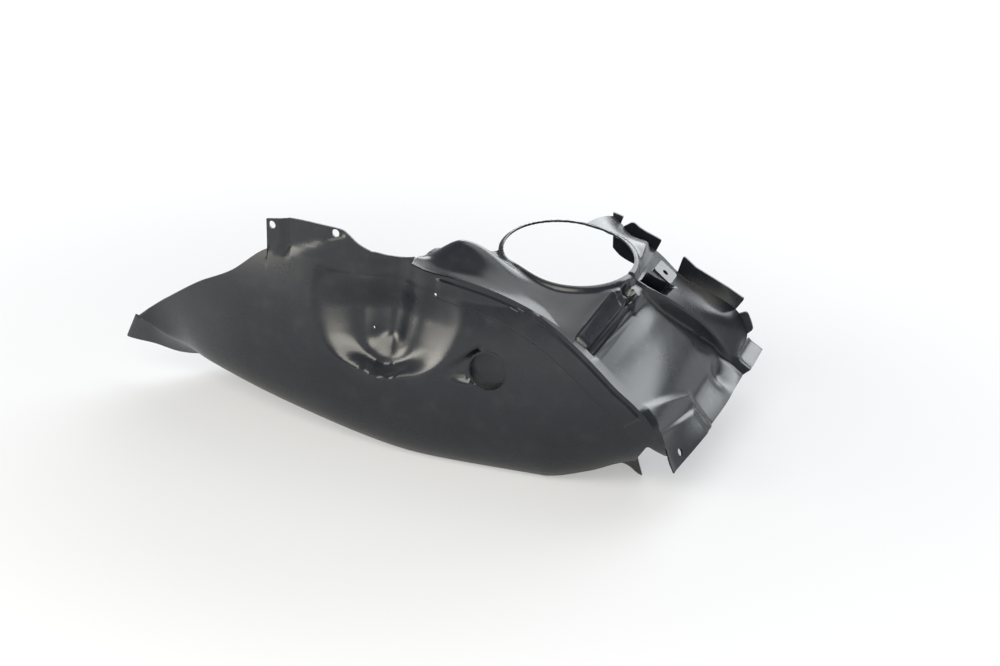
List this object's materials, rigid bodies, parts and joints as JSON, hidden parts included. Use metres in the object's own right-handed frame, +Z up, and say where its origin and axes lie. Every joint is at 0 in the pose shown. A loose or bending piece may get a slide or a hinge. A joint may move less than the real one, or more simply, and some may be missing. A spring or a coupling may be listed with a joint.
{
  "type": "wheel arch liner",
  "caption": "Thin moulded plastic liner for the inside of a car wheel arch, with a round strut opening, clip tabs and upstanding flanges.",
  "frame": {"origin": "bottom centre of the liner's box as it rests; the wheel axis is parallel to Y, 73.6 mm towards -X of the origin and 70 mm below it", "axes": "+X along the car towards the end with the lower clip tab, +Y from the inner side wall towards the outer edge of the roof, +Z up"},
  "size_m": [0.8168, 0.37, 0.299],
  "materials": {
    "liner_plastic": "semi-gloss moulded black plastic"
  },
  "bodies": {
    "root": {"arch_liner": "liner_plastic"}
  },
  "joints": []
}
